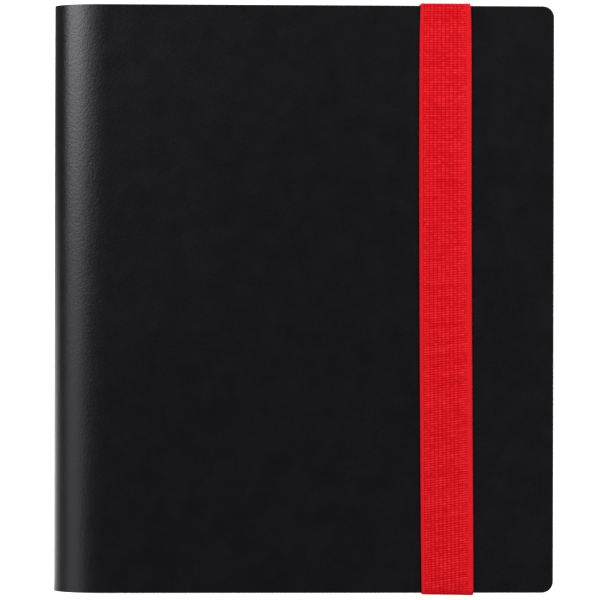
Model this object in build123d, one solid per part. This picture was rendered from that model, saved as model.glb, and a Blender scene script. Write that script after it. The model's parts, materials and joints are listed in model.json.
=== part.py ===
from build123d import *
import os

# Trading card binder: a side-loading album of clear card pockets in a folded polypropylene
# cover, held shut by an elastic strap. It lies closed on its back cover. X runs from the spine
# to the fore-edge, Y from the tail to the head, and Z up through the thickness. The origin is
# at the middle of the closed binder's footprint.

# Cover, in millimetres
COVER_WIDTH = 184.0  # spine's outer face to the fore-edge
COVER_HEIGHT = 216.0  # tail edge to head edge
THICKNESS = 28.0  # back cover's outer face to the front cover's
SHEET = 1.2  # the cover's polypropylene sheet
CURVE_RUN = 20.0  # how far in from the spine each cover starts to curve
CREASE_HEIGHT = 9.5  # from a cover's outer face to its crease with the spine
CREASE_GAP = 0.1  # between two panels, at the crease
CORNER_RADIUS = 4.2  # the four corners at the fore-edge

# Leaves and their pockets
LEAF_COUNT = 20
LEAF_PITCH = 1.2
LEAF_WIDTH = 165.0  # root to fore-edge
LEAF_HEIGHT = 198.0
LEAF_CORNER = 3.0
CORE = 0.15  # the black middle sheet
FILM = 0.11  # the clear front of a pocket
CARD_GAP = 0.33  # room for a card between the two
ROOT_MARGIN = 15.0  # plain sheet between the root and the first column
COLUMN_WIDTH = 73.0
COLUMN_STEP = 75.5
WELD = 2.0  # width of a weld between film and sheet
POCKET_HEIGHT = 95.0

# Binding strip, which holds the leaves' roots to the spine
FLANGE = 1.3
FLANGE_INNER = 11.7  # from the spine's outer face to the flange
FLANGE_HEIGHT = 23.6
WEB_HEIGHT = 7.0
WEB_FILLET = 1.5
ROOT_GAP = 0.15  # from the flange to the line that the leaves turn about

# Elastic strap and the two anchors that hold its ends inside the back cover
STRAP_WIDTH = 20.0
STRAP = 0.85
STRAP_FROM_FORE_EDGE = 39.7  # to the strap's centre line
STRAP_LIFT = 0.05  # off the faces that it lies on
STRAP_EDGE_GAP = 0.1  # off the covers' head and tail edges
STRAP_FOLD = 0.15  # inner radius of its folds
STRAP_TAB = 7.6  # length held inside the back cover
ANCHOR_WIDTH = 26.0
ANCHOR_DEPTH = 6.4
ANCHOR_ROOF = 0.6
ANCHOR_SLACK = 0.1  # round the strap in its anchor

SPINE_X = -COVER_WIDTH / 2
FORE_EDGE_X = COVER_WIDTH / 2
ROOT_X = SPINE_X + FLANGE_INNER + FLANGE + ROOT_GAP
STRAP_X = FORE_EDGE_X - STRAP_FROM_FORE_EDGE


def slab(low, high):
    """A box between two opposite corners."""
    size = [b - a for a, b in zip(low, high)]
    middle = [(a + b) / 2 for a, b in zip(low, high)]
    return Pos(*middle) * Box(*size)


def back_cover():
    """Flat sheet whose spine side curves up to the crease."""
    rise = CREASE_HEIGHT - CREASE_GAP / 2
    centre = (SPINE_X + CURVE_RUN, rise)
    outer = EllipticalCenterArc(centre, CURVE_RUN, rise, 180, arc_size=90)
    inner = EllipticalCenterArc(centre, CURVE_RUN - SHEET, rise - SHEET, 180, arc_size=90)
    flat = Polyline(outer @ 1, (FORE_EDGE_X, 0), (FORE_EDGE_X, SHEET), inner @ 1)
    end = Line(inner @ 0, outer @ 0)
    profile = Plane.XZ * make_face([outer, flat, inner, end])
    cover = extrude(profile, COVER_HEIGHT / 2, both=True)
    corners = cover.edges().filter_by(Axis.Z).group_by(Axis.X)[-1]
    return fillet(corners, CORNER_RADIUS)


def front_cover():
    return mirror(back_cover(), about=Plane.XY.offset(THICKNESS / 2))


def spine_panel():
    low = CREASE_HEIGHT + CREASE_GAP / 2
    high = THICKNESS - low
    return slab((SPINE_X, -COVER_HEIGHT / 2, low), (SPINE_X + SHEET, COVER_HEIGHT / 2, high))


def binding_strip():
    """T section: its web is welded to the spine, and its flange carries the leaves' roots."""
    middle = THICKNESS / 2
    flange_x = SPINE_X + FLANGE_INNER
    web = slab(
        (SPINE_X + SHEET, -LEAF_HEIGHT / 2, middle - WEB_HEIGHT / 2),
        (flange_x, LEAF_HEIGHT / 2, middle + WEB_HEIGHT / 2),
    )
    flange = slab(
        (flange_x, -LEAF_HEIGHT / 2, middle - FLANGE_HEIGHT / 2),
        (flange_x + FLANGE, LEAF_HEIGHT / 2, middle + FLANGE_HEIGHT / 2),
    )
    strip = web + flange
    by_x = strip.edges().filter_by(Axis.Y).group_by(Axis.X)
    on_flange_face = by_x[1]  # after the web's edges against the spine
    web_edges = on_flange_face.sort_by(lambda edge: abs(edge.center().Z - middle))[:2]
    return fillet(web_edges, WEB_FILLET)


def leaf_level(number):
    """Height of a leaf's middle plane; leaf 1 lies on the back cover."""
    return THICKNESS / 2 + (number - (LEAF_COUNT + 1) / 2) * LEAF_PITCH


def leaf_sheet(number):
    level = leaf_level(number)
    sheet = slab(
        (ROOT_X, -LEAF_HEIGHT / 2, level - CORE / 2),
        (ROOT_X + LEAF_WIDTH, LEAF_HEIGHT / 2, level + CORE / 2),
    )
    return fillet(sheet.edges().filter_by(Axis.Z).group_by(Axis.X)[-1], LEAF_CORNER)


def layer(corner_a, corner_b, near, far, level, side):
    """A slab of a pocket, between two distances from the leaf's middle plane, on one side."""
    heights = sorted((level + side * near, level + side * far))
    return slab((*corner_a, heights[0]), (*corner_b, heights[1]))


def leaf_pockets(number):
    """Two columns of two pockets on each side of a leaf, open towards the spine."""
    level = leaf_level(number)
    card_far = CORE / 2 + CARD_GAP
    half = POCKET_HEIGHT + 1.5 * WELD
    pieces = []
    for side in (-1, 1):
        for column in range(2):
            mouth = ROOT_X + ROOT_MARGIN + column * COLUMN_STEP
            closed = mouth + COLUMN_WIDTH
            film = layer((mouth, -half), (closed, half), card_far, card_far + FILM, level, side)
            pieces.append(film)
            for low in (WELD / 2, -WELD / 2 - POCKET_HEIGHT):
                ends = (closed - WELD, low), (closed, low + POCKET_HEIGHT)
                pieces.append(layer(*ends, CORE / 2, card_far, level, side))
        across = ROOT_X + ROOT_MARGIN, ROOT_X + ROOT_MARGIN + COLUMN_STEP + COLUMN_WIDTH
        for weld in (-1, 0, 1):
            y = weld * (POCKET_HEIGHT + WELD) - WELD / 2
            ends = (across[0], y), (across[1], y + WELD)
            pieces.append(layer(*ends, CORE / 2, card_far, level, side))
    return Compound(children=pieces)


def elastic_strap():
    """One band from its tab in the back cover, over the front cover and back to the other tab."""
    outer_y = COVER_HEIGHT / 2 + STRAP_EDGE_GAP + STRAP
    bottom = SHEET + STRAP_LIFT
    top = THICKNESS + STRAP_LIFT + STRAP
    outline = Pos(0, (bottom + top) / 2) * RectangleRounded(
        2 * outer_y, top - bottom, STRAP_FOLD + STRAP
    )
    hollow = Pos(0, (bottom + top) / 2) * RectangleRounded(
        2 * (outer_y - STRAP), top - bottom - 2 * STRAP, STRAP_FOLD
    )
    tab_y = COVER_HEIGHT / 2 - STRAP_TAB
    mouth = Pos(0, bottom + STRAP / 2) * Rectangle(2 * tab_y, 2 * STRAP)
    band = extrude(Plane.YZ * (outline - hollow - mouth), STRAP_WIDTH / 2, both=True)
    return Pos(STRAP_X, 0, 0) * band


def strap_anchor(side):
    """Low bridge welded to the back cover over the strap's tab, at the head or the tail."""
    outer_y = COVER_HEIGHT / 2 - (STRAP_TAB - ANCHOR_DEPTH) / 2
    inner_y = outer_y - ANCHOR_DEPTH
    near, far = sorted((side * inner_y, side * outer_y))
    slot_half = STRAP_WIDTH / 2 + ANCHOR_SLACK
    slot_top = SHEET + STRAP_LIFT + STRAP + ANCHOR_SLACK
    block = slab(
        (STRAP_X - ANCHOR_WIDTH / 2, near, SHEET),
        (STRAP_X + ANCHOR_WIDTH / 2, far, slot_top + ANCHOR_ROOF),
    )
    slot = slab((STRAP_X - slot_half, near, SHEET), (STRAP_X + slot_half, far, slot_top))
    return block - slot


def main():
    os.makedirs("parts", exist_ok=True)
    parts = {
        "back_cover": back_cover(),
        "spine_panel": spine_panel(),
        "front_cover": front_cover(),
        "binding_strip": binding_strip(),
        "elastic_strap": elastic_strap(),
        "strap_anchor_head": strap_anchor(1),
        "strap_anchor_tail": strap_anchor(-1),
    }
    for number in range(1, LEAF_COUNT + 1):
        parts[f"leaf_{number:02d}_sheet"] = leaf_sheet(number)
        parts[f"leaf_{number:02d}_pockets"] = leaf_pockets(number)
    for name, shape in parts.items():
        export_step(shape, f"parts/{name}.step")


main()
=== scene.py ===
import json
import math

import bpy
import numpy as np
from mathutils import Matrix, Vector

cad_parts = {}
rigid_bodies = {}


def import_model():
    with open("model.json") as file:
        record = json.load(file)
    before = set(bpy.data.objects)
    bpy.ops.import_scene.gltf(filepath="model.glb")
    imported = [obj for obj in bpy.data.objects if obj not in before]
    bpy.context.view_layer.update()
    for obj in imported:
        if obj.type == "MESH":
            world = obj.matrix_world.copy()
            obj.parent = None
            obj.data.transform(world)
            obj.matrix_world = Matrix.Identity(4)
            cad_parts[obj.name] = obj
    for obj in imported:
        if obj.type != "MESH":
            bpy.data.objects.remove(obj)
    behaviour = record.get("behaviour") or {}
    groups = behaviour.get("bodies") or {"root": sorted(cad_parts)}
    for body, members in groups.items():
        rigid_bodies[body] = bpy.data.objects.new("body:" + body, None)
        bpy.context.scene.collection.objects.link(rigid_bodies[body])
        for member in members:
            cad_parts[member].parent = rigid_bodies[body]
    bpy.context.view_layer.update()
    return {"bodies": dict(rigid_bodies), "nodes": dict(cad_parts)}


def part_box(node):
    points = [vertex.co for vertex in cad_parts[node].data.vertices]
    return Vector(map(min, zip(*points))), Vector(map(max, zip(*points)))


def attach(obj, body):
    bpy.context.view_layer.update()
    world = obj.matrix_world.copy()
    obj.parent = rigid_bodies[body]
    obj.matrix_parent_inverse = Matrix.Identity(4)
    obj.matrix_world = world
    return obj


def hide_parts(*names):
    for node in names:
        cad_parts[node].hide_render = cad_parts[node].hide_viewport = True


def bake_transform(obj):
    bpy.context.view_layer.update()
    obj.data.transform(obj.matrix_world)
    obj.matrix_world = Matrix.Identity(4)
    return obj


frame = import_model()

# Trading card binder, closed and lying on its back cover. Every length is in metres, and X runs
# from the spine to the fore-edge, Y from the tail to the head, and Z up through the thickness.

MM = 0.001
TINY = 0.001 * MM  # slack for comparing places
SEED = 11

# Places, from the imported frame
FRONT_LOW, FRONT_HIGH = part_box("front_cover")
SPINE_LOW, SPINE_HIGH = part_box("spine_panel")
STRAP_LOW, STRAP_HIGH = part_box("elastic_strap")
SPINE_X = SPINE_LOW.x
FORE_EDGE_X = FRONT_HIGH.x
HALF_HEIGHT = FRONT_HIGH.y
TOP = FRONT_HIGH.z
MIDDLE_Z = TOP / 2
SHEET = SPINE_HIGH.x - SPINE_LOW.x  # the cover's thickness
CREASE_Z = (SPINE_HIGH.z + FRONT_LOW.z) / 2  # the upper crease; the lower one mirrors it

# Cover sheet
CURVE_RUN = 20 * MM  # how far in from the spine the cover starts to curve
CURVE_RISE = FRONT_HIGH.z - FRONT_LOW.z
CORNER_RADIUS = 4.2 * MM  # of the fore-edge corners
RIM_RADIUS = 0.22 * MM  # of the sheet's free edges
RIM_STEPS = 3  # mesh steps round one of them
RIM_SUPPORT = 0.4 * MM  # a row this far inside the rim keeps the flat face's shading flat
CREASE_REACH = 2 * MM  # how far each side of its axis a crease bends
CREASE_EASE = 0.4 * MM  # how far in from each end of a crease's bend the ends that make_cover works out lie
SCORE_DEPTH = 0.16 * MM  # of the line that is pressed along each crease
SCORE_WIDTH = 0.4 * MM
COVER_ROWS = 25  # mesh rows from the tail edge to the head edge
CURVE_STATIONS = 40
FLAT_STATIONS = 14
CORNER_STATIONS = 10
CREASE_STATIONS = 13  # on each side of a crease
SPINE_STATIONS = 7

# Pockets
FILM = 0.11 * MM  # thickness
POCKET_FULL = 0.515 * MM  # from the leaf's middle plane to the film's outer face
POCKET_WELDED = 0.19 * MM  # the same where the film is welded down
ROOT_MARGIN = 15 * MM  # from the leaf's root to the first pocket's mouth
COLUMN_WIDTH = 73 * MM  # of one column of pockets
COLUMN_STEP = 75.5 * MM
POCKET_HALF = 98 * MM  # from the leaf's middle to the film's head or tail edge
POCKET_HEIGHT = 95 * MM  # between its welds
WELD = 2 * MM
SHOULDER = 5 * MM  # over which the film rises from a weld
SHOULDER_SPREAD = 1.5  # power that draws the shoulder's mesh rows towards the weld
SHOULDER_ROWS = 5
PANEL_ROWS = 7
FULLNESS = 0.6  # the lower, the sooner the film has risen
MOUTH_DIP = 0.1 * MM  # how far the open lip sags between its welds

# Strap
STRAP = 0.85 * MM  # thickness
STRAP_FOLD = 1.3 * MM  # outer radius of its folds
TAB_END = 7.6 * MM  # from the cover's head or tail edge to the end of a tab
LEFT_SELVEDGE = 1.56 * MM
RIGHT_SELVEDGE = 2.0 * MM
WARP = 1.468 * MM  # width of one full warp column
WARP_COLUMNS = 8
LEFT_COLUMNS = [0.93 * MM, 1.2 * MM]  # narrower columns beside each selvedge
RIGHT_COLUMNS = [1.1 * MM, 0.75 * MM]
COLUMN_WIDTHS = LEFT_COLUMNS + [WARP] * WARP_COLUMNS + RIGHT_COLUMNS
COLUMN_EDGES = LEFT_SELVEDGE + np.concatenate([[0], np.cumsum(COLUMN_WIDTHS)])
WEAVE_WIDTH = COLUMN_EDGES[-1] + RIGHT_SELVEDGE
CORD = 0.52 * MM  # width of one selvedge cord
GROOVE = 0.12 * MM  # half the width of the groove that runs in the left selvedge
GROOVE_INSET = 0.16 * MM  # from that groove to the first warp column
GROOVE_DEPTH = 0.65  # share of the relief that it takes away, which sinks it and also darkens its colour as painted shade
PICK = 0.88 * MM  # length of one pick along the strap
SAMPLES = 4  # mesh steps in one warp column and in one pick
CORD_SAMPLES = 3  # the same in one selvedge cord
EDGE_ROUND = 0.35 * MM  # width of the rounding along each side
EDGE_STEPS = 2
RELIEF = 0.2 * MM  # from the weave's crowns down to its gaps

# Heights in the weave, as shares of its relief, which also set its colour: the lower, the darker with
# painted shade
VALLEY = 0.25  # between two warp columns
NARROW_VALLEY = 0.6  # between the narrower ones
PICK_GAP = 0.12  # between two picks
SELVEDGE_HEIGHT = 0.33
CORD_HEIGHT = 0.12  # of the selvedge's cords above it
TWIST_HEIGHT = 0.07  # of the twist in those cords
TENSION = (0.55, 1.0)  # range of heights of single crowns
ROW_TENSION = (0.72, 1.0)  # range of heights of whole picks

# How the strap is pulled, and the painted shade at its tail fold
FOLD_RELIEF = 0.3  # share of the relief that is left at the folds, where the strap is pulled tight
TAIL_FOLD_SHADE = 0.65  # painted shade: how much the colour darkens at the tail fold, which turns away from the light
FOLD_SHADE_START = 0.985  # share of the cover's half height where that begins
FOLD_SHADE_RUN = 0.02  # share of it over which it grows
FOLD_SHADE_DROP = 3 * MM  # how far down the tail side it fades out
HEAD_PINCH = 0.05  # share of its width that the strap loses at the head fold
TAIL_PINCH = 0.015
PINCH_REACH = 9 * MM
TAIL_THIN = 0.3 * MM  # how much thinner the strap is pulled at its spine side's tail fold
THIN_RUN = 0.03  # share of the cover's half height over which it thins
STRAP_SHIFT = -0.4 * MM  # of the strap's middle from its anchors' middle, at the head
LEAN = 1.15 * MM  # how far the strap leans to the fore-edge at the tail
LEAN_START = 0.6  # share of the cover's half height, on the head's side, where the lean starts
LEAN_POWER = 1.6
TAIL_SLANT = 0.13  # slope of the picks at the tail
SLANT_START = 0.15  # share of the strap's length where the slope starts
SLANT_RUN = 0.65  # share of it over which the slope grows

# Camera
CAMERA_DISTANCE = 950 * MM  # above the cover
CAMERA_X = -26.42 * MM
CAMERA_Y = -0.44 * MM
CAMERA_TILT = -1.507  # degrees about Y, which turns its view slightly to the fore-edge
CAMERA_ROLL = 0.131  # degrees about Z
CAMERA_LENS = 155.3  # focal length and sensor width in millimetres
SENSOR = 36

# Studio
LIGHT_COLOUR = (0.975, 0.97, 1.03)  # a slightly cool white
LEFT, RIGHT, HEAD, TAIL = 180, 0, 90, -90  # bearings from the object, in degrees
FLOOR_REACH = 6.0  # far enough that its edge stays out of low views
FLOOR_POINTS = 13  # along each side
FLOOR_DROP = 0.1 * MM  # of the floor below the object


# ---------------------------------------------------------------- meshes

def grid_faces(rows, columns, offset=0):
    """Quads of a grid of vertices that is stored row by row."""
    i, j = np.meshgrid(np.arange(rows - 1), np.arange(columns - 1), indexing="ij")
    corner = (offset + i * columns + j).ravel()
    return np.column_stack([corner, corner + 1, corner + columns + 1, corner + columns])


def strip_faces(first, second):
    """Quads between two closed loops of vertex numbers."""
    return np.column_stack([first, np.roll(first, -1), np.roll(second, -1), second])


def boundary(rows, columns):
    """Row and column numbers once round a grid's edge."""
    ahead = [(i, 0) for i in range(rows - 1)]
    across = [(rows - 1, j) for j in range(columns - 1)]
    back = [(i, columns - 1) for i in range(rows - 1, 0, -1)]
    home = [(0, j) for j in range(columns - 1, 0, -1)]
    return np.array(ahead + across + back + home).T


def closed_plate(top, bottom, loops=()):
    """Vertices and quads of a plate between two grids, its rim running through the given loops."""
    rows, columns = top.shape[:2]
    edge = boundary(rows, columns)
    ring = edge[0] * columns + edge[1]
    count = rows * columns
    starts = [2 * count + number * len(ring) for number in range(len(loops))]
    rings = [ring, *(start + np.arange(len(ring)) for start in starts), ring + count]
    vertices = np.concatenate([top.reshape(-1, 3), bottom.reshape(-1, 3), *loops])
    faces = [grid_faces(rows, columns)[:, ::-1], grid_faces(rows, columns, count)]
    faces += [strip_faces(a, b) for a, b in zip(rings, rings[1:])]
    return vertices, np.concatenate(faces)


def add_object(name, vertices, faces, material, sharp=40):
    """A smooth mesh object whose edges over the sharp angle, in degrees, stay hard."""
    mesh = bpy.data.meshes.new(name)
    mesh.from_pydata(vertices.tolist(), [], [list(face) for face in faces])
    mesh.validate()
    mesh.shade_smooth()
    mesh.set_sharp_from_angle(angle=math.radians(sharp))
    mesh.materials.append(material)
    obj = bpy.data.objects.new(name, mesh)
    bpy.context.scene.collection.objects.link(obj)
    return obj


def smooth(t):
    """0 below 0, 1 above 1, and an even S between."""
    t = np.clip(t, 0, 1)
    return t * t * (3 - 2 * t)


# ------------------------------------------------------------- materials

def new_material(name, **values):
    """A material with its node tree and its main shader, whose sockets take the values."""
    material = bpy.data.materials.new(name)
    material.use_nodes = True
    shader = material.node_tree.nodes["Principled BSDF"]
    for socket, value in values.items():
        shader.inputs[socket.replace("_", " ")].default_value = value
    return material, material.node_tree, shader


def noise(tree, source, scale, detail=2.0, stretch=(1, 1, 1)):
    """Noise of one scale, in features per metre, from the object's own or UV coordinates."""
    place = tree.nodes.new("ShaderNodeTexCoord")
    mapping = tree.nodes.new("ShaderNodeMapping")
    mapping.inputs["Scale"].default_value = stretch
    texture = tree.nodes.new("ShaderNodeTexNoise")
    texture.inputs["Scale"].default_value = scale
    texture.inputs["Detail"].default_value = detail
    tree.links.new(place.outputs[source], mapping.inputs["Vector"])
    tree.links.new(mapping.outputs["Vector"], texture.inputs["Vector"])
    return texture.outputs["Fac"]


def mix(tree, factor, low, high):
    """A colour between two, each a colour or another node's output."""
    node = tree.nodes.new("ShaderNodeMix")
    node.data_type = "RGBA"
    tree.links.new(factor, node.inputs["Factor"])
    colour_a, colour_b = node.inputs[6:8]
    for socket, value in ((colour_a, low), (colour_b, high)):
        if isinstance(value, tuple):
            socket.default_value = (*value, 1)
        else:
            tree.links.new(value, socket)
    return node.outputs[2]


def ramp(tree, value, *stops):
    """A colour that runs through several stops, each a place and a colour."""
    node = tree.nodes.new("ShaderNodeValToRGB")
    elements = node.color_ramp.elements
    while len(elements) < len(stops):
        elements.new(0.5)
    for element, (place, colour) in zip(elements, stops):
        element.position = place
        element.color = (*colour, 1)
    tree.links.new(value, node.inputs["Fac"])
    return node.outputs["Color"]


def spread(tree, value, low, high, start=0.3, end=0.7):
    """A number that runs from low to high as value runs from start to end."""
    node = tree.nodes.new("ShaderNodeMapRange")
    for socket, number in (("From Min", start), ("From Max", end), ("To Min", low), ("To Max", high)):
        node.inputs[socket].default_value = number
    tree.links.new(value, node.inputs["Value"])
    return node.outputs["Result"]


def bump(tree, shader, layers):
    """Bump from several heights, each a node's output with its strength and depth."""
    normal = None
    for height, strength, depth in layers:
        node = tree.nodes.new("ShaderNodeBump")
        node.inputs["Strength"].default_value = strength
        node.inputs["Distance"].default_value = depth
        tree.links.new(height, node.inputs["Height"])
        if normal:
            tree.links.new(normal, node.inputs["Normal"])
        normal = node.outputs["Normal"]
    tree.links.new(normal, shader.inputs["Normal"])


def cover_plastic():
    """Matte black polypropylene: a fine sand grain, a cloudy sheen and a few faint rubs."""
    material, tree, shader = new_material("cover_polypropylene", IOR=1.49)
    grain = noise(tree, "Object", 2600, 3)
    cloud = noise(tree, "Object", 130, 4)
    rub = noise(tree, "Object", 90, 5, (1, 0.12, 1))
    sand = noise(tree, "Object", 1100, 2)
    tone = mix(tree, spread(tree, sand, 0, 1), (0.0029, 0.0029, 0.0036), (0.0039, 0.0039, 0.0046))
    wear_and_fold_shade = mix(tree, spread(tree, rub, 0, 0.5, 0.62, 0.8), tone, (0.0052, 0.0052, 0.0060))
    tree.links.new(wear_and_fold_shade, shader.inputs["Base Color"])
    tree.links.new(spread(tree, cloud, 0.28, 0.32), shader.inputs["Roughness"])
    bump(tree, shader, [(grain, 0.5, 0.04 * MM), (sand, 0.9, 0.06 * MM)])
    return material


def leaf_film():
    """Black middle sheet of a leaf: satin film with a leathery emboss."""
    material, tree, shader = new_material("leaf_black_film", IOR=1.5)
    emboss = noise(tree, "Object", 1500, 2)
    cloud = noise(tree, "Object", 60, 3)
    tone = mix(tree, spread(tree, cloud, 0, 1), (0.012, 0.012, 0.0125), (0.017, 0.017, 0.018))
    tree.links.new(tone, shader.inputs["Base Color"])
    tree.links.new(spread(tree, emboss, 0.42, 0.56), shader.inputs["Roughness"])
    bump(tree, shader, [(emboss, 0.5, 0.04 * MM)])
    return material


def film_gloss(tree):
    """The film's reflections, which its slow ripples bend."""
    nodes, links = tree.nodes, tree.links
    gloss = nodes.new("ShaderNodeBsdfAnisotropic")
    gloss.inputs["Color"].default_value = (0.6, 0.6, 0.6, 1)
    ripple = noise(tree, "Object", 45, 2, (1, 0.35, 1))
    links.new(spread(tree, ripple, 0.14, 0.24), gloss.inputs["Roughness"])
    bend = nodes.new("ShaderNodeBump")
    bend.inputs["Strength"].default_value = 0.25
    bend.inputs["Distance"].default_value = 0.3 * MM
    links.new(ripple, bend.inputs["Height"])
    links.new(bend.outputs["Normal"], gloss.inputs["Normal"])
    return gloss.outputs["BSDF"]


def film_milkiness(tree):
    """Half milky on the cut edges, whose normals lie flat, and a faint uneven haze elsewhere."""
    nodes, links = tree.nodes, tree.links
    place = nodes.new("ShaderNodeTexCoord")
    axes = nodes.new("ShaderNodeSeparateXYZ")
    links.new(place.outputs["Normal"], axes.inputs["Vector"])
    upright = nodes.new("ShaderNodeMath")
    upright.operation = "ABSOLUTE"
    links.new(axes.outputs["Z"], upright.inputs[0])
    milky = nodes.new("ShaderNodeMath")
    milky.operation = "MAXIMUM"
    links.new(spread(tree, upright.outputs["Value"], 0.5, 0, 0.2, 0.6), milky.inputs[0])
    links.new(spread(tree, noise(tree, "Object", 30, 3), 0.02, 0.045), milky.inputs[1])
    return milky.outputs["Value"]


def mix_shaders(tree, factor, first, second):
    node = tree.nodes.new("ShaderNodeMixShader")
    tree.links.new(factor, node.inputs["Fac"])
    tree.links.new(first, node.inputs[1])
    tree.links.new(second, node.inputs[2])
    return node.outputs["Shader"]


def pocket_film():
    """Clear polypropylene film: mostly seen through, glossy, and milky at its cut edges."""
    material, tree, shader = new_material("pocket_clear_film", Roughness=0.5)
    shader.inputs["Base Color"].default_value = (0.75, 0.77, 0.8, 1)
    clear = tree.nodes.new("ShaderNodeBsdfTransparent")
    clear.inputs["Color"].default_value = (0.97, 0.975, 0.98, 1)
    facing = tree.nodes.new("ShaderNodeFresnel")
    facing.inputs["IOR"].default_value = 1.49
    mirrored_share = spread(tree, facing.outputs["Fac"], 0.04, 0.3, 0.04, 0.8)
    shine = mix_shaders(tree, mirrored_share, clear.outputs["BSDF"], film_gloss(tree))
    haze = mix_shaders(tree, film_milkiness(tree), shine, shader.outputs["BSDF"])
    tree.links.new(haze, tree.nodes["Material Output"].inputs["Surface"])
    return material


def moulded(name, dark, light, rough):
    """Black moulded or extruded plastic with fine draw lines along its length."""
    material, tree, shader = new_material(name, IOR=1.5)
    lines = noise(tree, "Object", 1800, 2, (1, 0.04, 1))
    cloud = noise(tree, "Object", 180, 3)
    tree.links.new(mix(tree, spread(tree, cloud, 0, 1), dark, light), shader.inputs["Base Color"])
    tree.links.new(spread(tree, lines, rough - 0.06, rough + 0.06), shader.inputs["Roughness"])
    bump(tree, shader, [(lines, 0.3, 0.03 * MM)])
    return material


def strap_weave():
    """Red woven elastic with fibres and a soft sheen; its colour follows the weave's relief, as painted
    shade in the gaps and a painted sheen on the crowns.
    """
    material, tree, shader = new_material(
        "strap_elastic", Sheen_Weight=0.02, Sheen_Roughness=0.4, Specular_IOR_Level=0.02
    )
    shader.inputs["Sheen Tint"].default_value = (1, 0.25, 0.25, 1)
    relief = tree.nodes.new("ShaderNodeAttribute")
    relief.attribute_name = "relief"
    height = relief.outputs["Fac"]
    fibre = noise(tree, "UV", 5200, 3, (0.35, 1, 1))
    shade = noise(tree, "UV", 110, 3)
    # painted shade and painted highlight: the gap colour is darkened as the shade in the weave's
    # hollows, and the crown colour is paler as a sheen on the raised yarns
    gap, body, crown = (0.43, 0.001, 0.0025), (0.58, 0.0066, 0.0115), (0.87, 0.031, 0.040)
    yarn_shade_and_sheen = ramp(tree, height, (0.08, gap), (0.3, body), (0.85, crown))
    lit = mix(tree, spread(tree, fibre, 0, 0.12), yarn_shade_and_sheen, (0.9, 0.0165, 0.0245))
    aged = mix(tree, spread(tree, shade, 0, 0.2), lit, (0.48, 0.0022, 0.0048))
    tree.links.new(aged, shader.inputs["Base Color"])
    tree.links.new(spread(tree, fibre, 0.55, 0.8), shader.inputs["Roughness"])
    bump(tree, shader, [(fibre, 0.4, 0.04 * MM)])
    return material


def floor_white():
    """Pale floor that is lit up to white."""
    material, tree, shader = new_material("floor_white", Roughness=0.9, Emission_Strength=0.75)
    shader.inputs["Specular IOR Level"].default_value = 0
    shader.inputs["Emission Color"].default_value = (1, 1, 1, 1)
    tone = mix(tree, noise(tree, "Object", 3, 1), (0.88, 0.88, 0.88), (0.9, 0.9, 0.9))
    tree.links.new(tone, shader.inputs["Base Color"])
    return material


def flag_gauze():
    """Black gauze that is dense at the head and open towards the tail."""
    material, tree, shader = new_material("flag_gauze", Roughness=1.0)
    shader.inputs["Base Color"].default_value = (0, 0, 0, 1)
    shader.inputs["Specular IOR Level"].default_value = 0
    place = tree.nodes.new("ShaderNodeTexCoord")
    axes = tree.nodes.new("ShaderNodeSeparateXYZ")
    tree.links.new(place.outputs["Object"], axes.inputs["Vector"])
    open_y, dense_y = -0.6 * HALF_HEIGHT, 0.65 * HALF_HEIGHT
    dense = spread(tree, axes.outputs["Y"], 0, 0.9, open_y, dense_y)
    dense.node.interpolation_type = "SMOOTHSTEP"
    tree.links.new(dense, shader.inputs["Alpha"])
    return material


def bounce_white():
    """An evenly lit white card."""
    material, _, shader = new_material("bounce_white", Roughness=1.0, Emission_Strength=3.0)
    shader.inputs["Base Color"].default_value = (0, 0, 0, 1)
    shader.inputs["Specular IOR Level"].default_value = 0
    shader.inputs["Emission Color"].default_value = (1, 1, 1, 1)
    return material


# ----------------------------------------------------------------- cover

# A station is one place along the cover's outline, seen from the tail: its x and z on the outer
# face, the direction into the sheet, and how far it is round a fore-edge corner.

def spine_stations(low, high, count):
    """Up the spine's flat face."""
    z = np.linspace(low, high, count)
    one, none = np.ones(count), np.zeros(count)
    return np.column_stack([one * SPINE_X, z, one, none, none])


def curve_stations(start, end, count):
    """Along the front cover's curve, from the spine (angle 0) to the flat."""
    angle = np.linspace(start, end, count)
    x = SPINE_X + CURVE_RUN * (1 - np.cos(angle))
    z = TOP - CURVE_RISE * (1 - np.sin(angle))
    return np.column_stack([x, z, np.cos(angle), -np.sin(angle), np.zeros(count)])


def flat_stations(count, corner_count):
    """Along the flat of the front cover, and then across its fore-edge corners."""
    straight = np.linspace(SPINE_X + CURVE_RUN, FORE_EDGE_X - CORNER_RADIUS, count)
    angle = np.concatenate([np.zeros(count), np.linspace(0, math.pi / 2, corner_count)[1:]])
    x = np.concatenate([straight, np.full(corner_count - 1, FORE_EDGE_X)])
    one, none = np.ones(len(x)), np.zeros(len(x))
    return np.column_stack([x, one * TOP, none, -one, angle])


def mirrored(stations):
    """The same stations on the back cover's half of the outline."""
    return stations * [1, -1, 1, -1, 1] + [0, 2 * MIDDLE_Z, 0, 0, 0]


def sheet_points(stations, inset, depth):
    """Grid of points on the sheet, in from its free edges by inset and down from its face by depth."""
    x, z, inward_x, inward_z, corner = stations.T
    cut = CORNER_RADIUS - inset
    round_x = FORE_EDGE_X - CORNER_RADIUS + cut * np.sin(corner)
    x = np.where(corner > 0, round_x, x)
    half = np.where(corner > 0, HALF_HEIGHT - CORNER_RADIUS + cut * np.cos(corner), HALF_HEIGHT - inset)
    from_crease = np.abs(z - MIDDLE_Z) - (CREASE_Z - MIDDLE_Z)
    score = SCORE_DEPTH * np.exp(-((from_crease / SCORE_WIDTH) ** 2)) * (x < SPINE_X + SHEET)
    depth = depth + score * (1 - depth / SHEET)
    middle = 1 - RIM_SUPPORT / HALF_HEIGHT
    share = np.concatenate([[-1], np.linspace(-middle, middle, COVER_ROWS - 2), [1]])
    points = np.empty((len(x), COVER_ROWS, 3))
    points[:, :, 0] = (x + inward_x * depth)[:, None]
    points[:, :, 1] = half[:, None] * share
    points[:, :, 2] = (z + inward_z * depth)[:, None]
    return points


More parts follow.
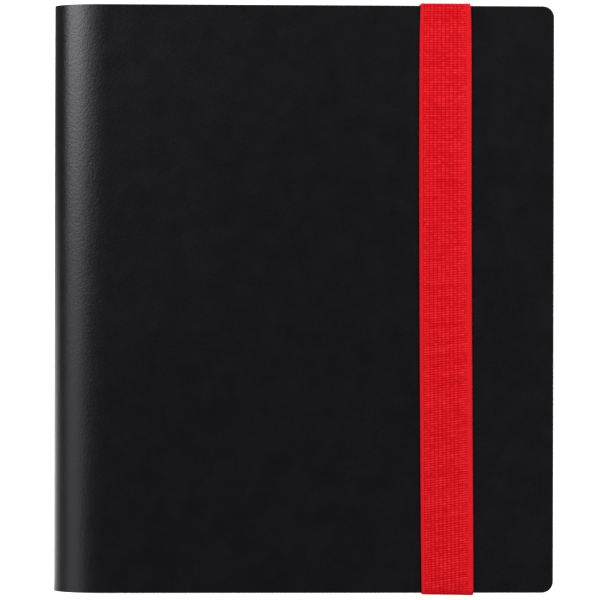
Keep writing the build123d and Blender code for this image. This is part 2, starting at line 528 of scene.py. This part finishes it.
def sheet_piece(name, stations, material):
    """One closed length of the cover sheet with small rounded rims."""
    edge = boundary(len(stations), COVER_ROWS)
    loops = []
    for step in range(1, RIM_STEPS + 1):
        angle = step / RIM_STEPS * math.pi / 2
        loops.append((RIM_RADIUS * (1 - math.sin(angle)), RIM_RADIUS * (1 - math.cos(angle))))
    rim = [sheet_points(stations, inset, depth)[tuple(edge)] for inset, depth in loops]
    rim += [sheet_points(stations, inset, SHEET - depth)[tuple(edge)] for inset, depth in loops[::-1]]
    face = sheet_points(stations, RIM_RADIUS, 0)
    inside = sheet_points(stations, RIM_RADIUS, SHEET)
    piece = add_object(name, *closed_plate(face, inside, rim), material)
    return piece


def make_cover():
    plastic = cover_plastic()
    bend_high = CREASE_Z + CREASE_REACH
    bend_low = CREASE_Z - CREASE_REACH
    bend_angle = math.asin((bend_high - FRONT_LOW.z) / CURVE_RISE)
    panel = np.vstack([
        curve_stations(bend_angle, math.pi / 2, CURVE_STATIONS)[:-1],
        flat_stations(FLAT_STATIONS, CORNER_STATIONS),
    ])
    crease = np.vstack([
        spine_stations(bend_low, FRONT_LOW.z, CREASE_STATIONS)[:-1],
        curve_stations(0, bend_angle, CREASE_STATIONS),
    ])
    spine = spine_stations(2 * MIDDLE_Z - bend_low, bend_low, SPINE_STATIONS)

    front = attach(sheet_piece("front_cover_sheet", panel, plastic), "front_cover")
    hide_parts("front_cover")
    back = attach(sheet_piece("back_cover_sheet", mirrored(panel), plastic), "back_cover")
    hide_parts("back_cover")
    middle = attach(sheet_piece("spine_sheet", spine, plastic), "spine")
    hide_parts("spine_panel")

    upper = sheet_piece("front_crease", crease, plastic)
    start = (SPINE_X, 0, bend_low + CREASE_EASE)
    end = (SPINE_X, 0, bend_high - CREASE_EASE)
    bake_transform(upper)
    lower = sheet_piece("back_crease", mirrored(crease), plastic)
    start, end = ((x, y, 2 * MIDDLE_Z - z) for x, y, z in (end, start))
    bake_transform(lower)


# ---------------------------------------------------------------- leaves

def pocket_stretch(mouth, side):
    """One column of two pockets on one side of a leaf, as a thin closed film."""
    shoulder = np.linspace(0, 1, SHOULDER_ROWS) ** SHOULDER_SPREAD * SHOULDER
    closed = mouth + COLUMN_WIDTH
    x = np.concatenate([
        np.linspace(mouth, closed - WELD - SHOULDER, PANEL_ROWS)[:-1],
        closed - WELD - shoulder[::-1],
        [closed - WELD / 2, closed],
    ])
    low = WELD / 2 + shoulder
    high = WELD / 2 + POCKET_HEIGHT - shoulder[::-1]
    between = np.linspace(low[-1], high[0], PANEL_ROWS)[1:-1]
    half = np.concatenate([[0], low, between, high, [POCKET_HALF]])
    y = np.concatenate([-half[:0:-1], half])
    from_weld = np.minimum(np.abs(y) - WELD / 2, POCKET_HALF - WELD - np.abs(y))
    rise_y = smooth(from_weld / SHOULDER) ** FULLNESS
    rise_x = smooth((closed - WELD - x) / SHOULDER) ** FULLNESS
    height = POCKET_WELDED + (POCKET_FULL - POCKET_WELDED) * rise_x[:, None] * rise_y
    dip = MOUTH_DIP * smooth(1 - (x - mouth) / (2 * SHOULDER))[:, None] * rise_y
    height = height - dip
    grid_x, grid_y = np.meshgrid(x, y, indexing="ij")
    outer = np.dstack([grid_x, grid_y, side * height])
    inner = np.dstack([grid_x, grid_y, side * (height - FILM)])
    vertices, faces = closed_plate(outer, inner)
    return vertices, faces if side > 0 else faces[:, ::-1]


def pocket_mesh(root, material):
    """The films of one leaf about its middle plane, which all leaves share."""
    vertices, faces, count = [], [], 0
    for side in (-1, 1):
        for column in range(2):
            part = pocket_stretch(root + ROOT_MARGIN + column * COLUMN_STEP, side)
            vertices.append(part[0])
            faces.append(part[1] + count)
            count += len(part[0])
    vertices, faces = np.concatenate(vertices), np.concatenate(faces)
    obj = add_object("pocket_pattern", vertices, faces, material, sharp=60)
    mesh = obj.data
    bpy.data.objects.remove(obj)
    return mesh


def set_material(node, material):
    node.data.materials.clear()
    node.data.materials.append(material)


def make_leaves():
    sheet_material = leaf_film()
    first_low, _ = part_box("leaf_01_sheet")
    mesh = pocket_mesh(first_low.x, pocket_film())
    for body in sorted(name for name in frame["bodies"] if name.startswith("leaf_")):
        set_material(frame["nodes"][f"{body}_sheet"], sheet_material)
        low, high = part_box(f"{body}_sheet")
        films = bpy.data.objects.new(f"{body}_films", mesh)
        bpy.context.scene.collection.objects.link(films)
        films.location.z = (low.z + high.z) / 2
        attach(films, body)
        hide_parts(f"{body}_pockets")


# ----------------------------------------------------------------- strap

def strap_path():
    """The strap's outer face from its head tab to its tail tab: places and outward directions."""
    step = PICK / SAMPLES
    outer_y, low, high = STRAP_HIGH.y, STRAP_LOW.z, STRAP_HIGH.z
    tab_y = HALF_HEIGHT - TAB_END
    # Ends of the head tab, the head side, the upper run, the tail side and the tail tab, as y and z
    runs = [
        ((tab_y, low), (outer_y - STRAP_FOLD, low)),
        ((outer_y, low + STRAP_FOLD), (outer_y, high - STRAP_FOLD)),
        ((outer_y - STRAP_FOLD, high), (STRAP_FOLD - outer_y, high)),
        ((-outer_y, high - STRAP_FOLD), (-outer_y, low + STRAP_FOLD)),
        ((STRAP_FOLD - outer_y, low), (-tab_y, low)),
    ]
    places, outward = [], []
    for number, (start, end) in enumerate(runs):
        facing = math.radians(90 * number - 90)
        count = round(math.dist(start, end) / step)
        share = np.linspace(0, 1, count + 1)[:, None]
        places.append(np.array(start) * (1 - share) + np.array(end) * share)
        outward.append(np.tile([math.cos(facing), math.sin(facing)], (count + 1, 1)))
        if number < len(runs) - 1:
            count = round(STRAP_FOLD * math.pi / 2 / step)
            angle = facing + np.linspace(0, math.pi / 2, count + 1)[1:-1, None]
            normal = np.hstack([np.cos(angle), np.sin(angle)])
            centre = np.array(end) - STRAP_FOLD * outward[-1][0]
            places.append(centre + STRAP_FOLD * normal)
            outward.append(normal)
    return np.concatenate(places), np.concatenate(outward)


def weave(across, along, slant):
    """Height of the weave, 0 to 1, at distances across the strap and along it."""
    column = np.clip(np.searchsorted(COLUMN_EDGES, across + TINY) - 1, 0, len(COLUMN_WIDTHS) - 1)
    in_column = (across - COLUMN_EDGES[column]) / np.array(COLUMN_WIDTHS)[column]
    picks = (along + slant * (across - WEAVE_WIDTH / 2)) / PICK
    number = np.round(picks).astype(int)
    number = number - number.min()
    rng = np.random.default_rng(SEED)
    tension = rng.uniform(*TENSION, (len(COLUMN_WIDTHS), number.max() + 1))
    row_tension = rng.uniform(*ROW_TENSION, number.max() + 1)
    narrow = np.array(COLUMN_WIDTHS)[column] < WARP
    valley = np.where(narrow, NARROW_VALLEY, VALLEY)
    crown = valley + (1 - valley) * (1 - np.abs(2 * in_column - 1) ** 3)
    pick = PICK_GAP + (1 - PICK_GAP) * (0.5 + 0.5 * np.cos(2 * math.pi * picks))
    height = crown * pick * tension[column, number] * row_tension[number]
    in_selvedge = (across < COLUMN_EDGES[0] - TINY) | (across > COLUMN_EDGES[-1] + TINY)
    groove = np.exp(-(((across - COLUMN_EDGES[0] + GROOVE_INSET) / GROOVE) ** 2))
    return np.where(in_selvedge, selvedge(across, along), height) * (1 - GROOVE_DEPTH * groove)


def selvedge(across, along):
    """Height of the corded selvedges, which have no picks."""
    from_side = np.where(across < WEAVE_WIDTH / 2, across, WEAVE_WIDTH - across)
    cords = np.abs(np.sin(math.pi * from_side / CORD))
    twist = np.cos(2 * math.pi * (along / PICK + across / WARP))
    return SELVEDGE_HEIGHT + CORD_HEIGHT * cords + TWIST_HEIGHT * twist


def strap_section():
    """Distances across and depths once round the band, and which of them are its woven face."""
    angle = np.linspace(0, math.pi / 2, EDGE_STEPS + 1)[:-1]
    edge_x = EDGE_ROUND * (1 - np.cos(angle))
    edge_depth = STRAP / 2 * (1 - np.sin(angle))
    left = np.arange(COLUMN_EDGES[0], EDGE_ROUND, -CORD / CORD_SAMPLES)[::-1]
    starts, ends = COLUMN_EDGES[:-1], COLUMN_EDGES[1:]
    body = np.concatenate([np.linspace(a, b, SAMPLES + 1)[1:] for a, b in zip(starts, ends)])
    right = np.arange(COLUMN_EDGES[-1], WEAVE_WIDTH - EDGE_ROUND, CORD / CORD_SAMPLES)[1:]
    face = np.concatenate([left, body, right])
    under = [WEAVE_WIDTH - EDGE_ROUND, EDGE_ROUND]
    across = np.concatenate([
        edge_x, face, WEAVE_WIDTH - edge_x[::-1], WEAVE_WIDTH - edge_x[1:], under, edge_x[:0:-1]
    ])
    depth = np.concatenate([
        edge_depth,
        np.zeros(len(face)),
        edge_depth[::-1],
        STRAP - edge_depth[1:],
        np.full(len(under), STRAP),
        STRAP - edge_depth[:0:-1],
    ])
    woven = np.arange(len(across)) < 2 * len(edge_x) + len(face)
    return across, depth, woven


def strap_width_and_shift(places):
    """Share of its full width, and shift of its centre, at each place along the strap."""
    y, z = places.T
    side_drop = (STRAP_HIGH.z - z) / (STRAP_HIGH.z - STRAP_LOW.z)
    to_head = STRAP_HIGH.y - y + (STRAP_HIGH.z - z)
    to_tail = y - STRAP_LOW.y + (STRAP_HIGH.z - z)
    width = 1 - HEAD_PINCH * np.exp(-to_head / PINCH_REACH) - TAIL_PINCH * np.exp(-to_tail / PINCH_REACH)
    down = np.clip((LEAN_START - y / HALF_HEIGHT) / (LEAN_START + 1), 0, 1)
    shift = STRAP_SHIFT + LEAN * down ** LEAN_POWER * (1 - smooth(side_drop))
    return width, shift


def strap_relief(across, along, woven):
    """The weave's height over the whole band, 0 on its underside."""
    slant = TAIL_SLANT * smooth((along / along[-1] - SLANT_START) / SLANT_RUN)
    return weave(across[None, :], along[:, None], slant[:, None]) * woven


def strap_points(places, outward, across, depth, woven, relief):
    """Grid of points of the band: a row for each place along it, and once round it in each row."""
    width, shift = strap_width_and_shift(places)
    # The relief is full on the flat woven face, half on its rounded sides, and less at the folds
    share = np.where(woven & (depth == 0), 1.0, np.where(woven, 0.5, 0.0))
    bent = smooth(4 * np.abs(outward[:, 0] * outward[:, 1]))[:, None]
    sunk = depth + RELIEF * (1 - relief) * share * (1 - (1 - FOLD_RELIEF) * bent)
    at_tail = smooth((-places[:, 0] / HALF_HEIGHT - (1 - THIN_RUN)) / THIN_RUN)[:, None]
    sunk = sunk + TAIL_THIN * (1 - across / WEAVE_WIDTH) * at_tail * woven
    centre = (STRAP_LOW.x + STRAP_HIGH.x) / 2
    points = np.empty((len(places), len(across), 3))
    points[:, :, 0] = centre + shift[:, None] + (across - WEAVE_WIDTH / 2) * width[:, None]
    points[:, :, 1] = places[:, :1] - outward[:, :1] * sunk
    points[:, :, 2] = places[:, 1:] - outward[:, 1:] * sunk
    return points


def band_faces(rows, columns):
    """Faces of a band of closed rows, with a cap on each end."""
    loops = np.arange(rows * columns).reshape(rows, columns)
    quads = [strip_faces(a, b) for a, b in zip(loops, loops[1:])]
    return np.concatenate(quads).tolist() + [loops[0].tolist(), loops[-1][::-1].tolist()]


def make_strap():
    places, outward = strap_path()
    across, depth, woven = strap_section()
    steps = np.linalg.norm(np.diff(places, axis=0), axis=1)
    along = np.concatenate([[0], np.cumsum(steps)])
    relief = strap_relief(across, along, woven)
    points = strap_points(places, outward, across, depth, woven, relief)
    faces = band_faces(*points.shape[:2])
    strap = add_object("strap_band", points.reshape(-1, 3), faces, strap_weave(), sharp=75)
    add_strap_relief(strap.data, places, relief)
    add_strap_uv(strap.data, across, along)
    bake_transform(strap)
    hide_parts("elastic_strap")


def add_strap_relief(mesh, places, relief):
    """The relief that the material reads, lowered at the tail fold as painted shade."""
    y, z = places.T
    at_fold = smooth((-y / HALF_HEIGHT - FOLD_SHADE_START) / FOLD_SHADE_RUN) * smooth((z - TOP) / FOLD_SHADE_DROP + 1)
    # painted shade: the relief, and so the colour, is darker towards the tail fold
    wear_and_fold_shade = relief * (1 - TAIL_FOLD_SHADE * at_fold[:, None])
    attribute = mesh.attributes.new("relief", "FLOAT", "POINT")
    attribute.data.foreach_set("value", wear_and_fold_shade.astype(np.float32).ravel())


def add_strap_uv(mesh, across, along):
    """UV in metres: across the strap and along it."""
    corners = np.empty(len(mesh.loops), np.int32)
    mesh.loops.foreach_get("vertex_index", corners)
    uv = np.column_stack([across[corners % len(across)], along[corners // len(across)]])
    layer = mesh.uv_layers.new(name="strap")
    layer.data.foreach_set("uv", uv.astype(np.float32).ravel())


# ------------------------------------------------- carried-over CAD nodes

def dress_node(name, material, bevel):
    node = frame["nodes"][name]
    set_material(node, material)
    edges = node.modifiers.new("soft_edges", "BEVEL")
    edges.width = bevel
    edges.segments = 3
    edges.limit_method = "ANGLE"
    edges.angle_limit = math.radians(50)


def dress_fittings():
    strip = moulded("binding_plastic", (0.009, 0.009, 0.0095), (0.013, 0.013, 0.014), 0.4)
    anchor = moulded("anchor_plastic", (0.011, 0.011, 0.012), (0.016, 0.016, 0.017), 0.5)
    dress_node("binding_strip", strip, 0.2 * MM)
    dress_node("strap_anchor_head", anchor, 0.18 * MM)
    dress_node("strap_anchor_tail", anchor, 0.18 * MM)


# ---------------------------------------------------------------- studio

def add_camera():
    data = bpy.data.cameras.new("camera")
    data.lens = CAMERA_LENS
    data.sensor_width = SENSOR
    data.clip_start = 0.01
    data.clip_end = 20
    camera = bpy.data.objects.new("camera", data)
    camera.location = (CAMERA_X, CAMERA_Y, TOP + CAMERA_DISTANCE)
    camera.rotation_euler = (0, math.radians(CAMERA_TILT), math.radians(CAMERA_ROLL))
    bpy.context.scene.collection.objects.link(camera)
    bpy.context.scene.camera = camera


def softbox(name, centre, aim, size, brightness):
    """A rectangular light; brightness is its radiance."""
    data = bpy.data.lights.new(name, "AREA")
    data.shape = "RECTANGLE"
    data.size, data.size_y = size
    data.energy = brightness * math.pi * size[0] * size[1]
    data.color = LIGHT_COLOUR
    light = bpy.data.objects.new(name, data)
    light.location = centre
    light.rotation_euler = (Vector(aim) - Vector(centre)).to_track_quat("-Z", "Y").to_euler()
    light.visible_camera = False
    bpy.context.scene.collection.objects.link(light)


def softbox_ring(name, bearing, low, high, distance, length, brightness, shift=0):
    """A softbox that fills elevations low to high, in degrees, on a bearing from the object.

    The shift moves it aside, to the left as seen from the object."""
    middle = math.radians((low + high) / 2)
    height = 2 * distance * math.tan(math.radians(high - low) / 2)
    turn = math.radians(bearing)
    flat = distance * math.cos(middle)
    aside = Vector((-math.sin(turn), math.cos(turn), 0)) * shift
    aim = Vector((0, 0, TOP)) + aside
    centre = aim + Vector((math.cos(turn) * flat, math.sin(turn) * flat, distance * math.sin(middle)))
    softbox(name, centre, aim, (length, height), brightness)


def add_lights():
    # Name, bearing, lowest and highest elevation, distance, length and brightness
    softbox_ring("left_key", LEFT, 27, 55, 0.75, 0.8, 7.0, shift=-0.53)
    softbox_ring("left_key_edge", LEFT, 55, 67, 0.75, 0.8, 1.3, shift=-0.53)
    softbox_ring("left_fill", LEFT, 27, 54, 0.75, 0.55, 1.2, shift=0.15)
    softbox_ring("left_low", LEFT, 1, 22, 0.75, 0.5, 0.45, shift=0.34)
    softbox_ring("right_softbox", RIGHT, 25, 48, 0.8, 0.9, 4.8)
    softbox_ring("head_softbox", HEAD, 20, 45, 0.8, 0.9, 3.0)
    softbox_ring("tail_softbox", TAIL, 25, 45, 0.9, 0.9, 2.4)
    world = bpy.data.worlds.new("studio")
    world.use_nodes = True
    world.node_tree.nodes["Background"].inputs["Color"].default_value = (1, 1, 1, 1)
    world.node_tree.nodes["Background"].inputs["Strength"].default_value = 0.03
    bpy.context.scene.world = world
    bpy.context.scene.view_settings.view_transform = "Standard"


def add_floor():
    side = np.linspace(-FLOOR_REACH, FLOOR_REACH, FLOOR_POINTS)
    x, y = np.meshgrid(side, side, indexing="ij")
    points = np.dstack([x, y, np.full_like(x, -FLOOR_DROP)]).reshape(-1, 3)
    faces = grid_faces(FLOOR_POINTS, FLOOR_POINTS)[:, ::-1]
    floor = add_object("floor", points, faces, floor_white())


def add_reflection_card(name, corners, material):
    """A flat card that only reflections see."""
    card = add_object(name, np.array(corners), [(0, 1, 2, 3)], material)
    card.visible_camera = False
    card.visible_diffuse = False
    card.visible_shadow = False
    card.visible_transmission = False


def add_flag():
    """Gauze beside the spine, which hides the floor from it towards the head."""
    x, half = SPINE_X - 6 * MM, HALF_HEIGHT + 30 * MM
    height = TOP - CURVE_RISE / 2 + 1.5 * MM
    corners = [(x, half, 0), (x, -half, 0), (x, -half, height), (x, half, height)]
    add_reflection_card("left_flag", corners, flag_gauze())


def add_bounce():
    """A bright card on the floor beyond the gauze."""
    near, far, z = SPINE_X - 8 * MM, SPINE_X - 50 * MM, 0.5 * MM
    half = HALF_HEIGHT
    corners = [(near, -half, z), (near, half, z), (far, half, z), (far, -half, z)]
    add_reflection_card("left_bounce", corners, bounce_white())


add_camera()
add_lights()
add_floor()
add_flag()
add_bounce()
make_cover()
make_leaves()
make_strap()
dress_fittings()
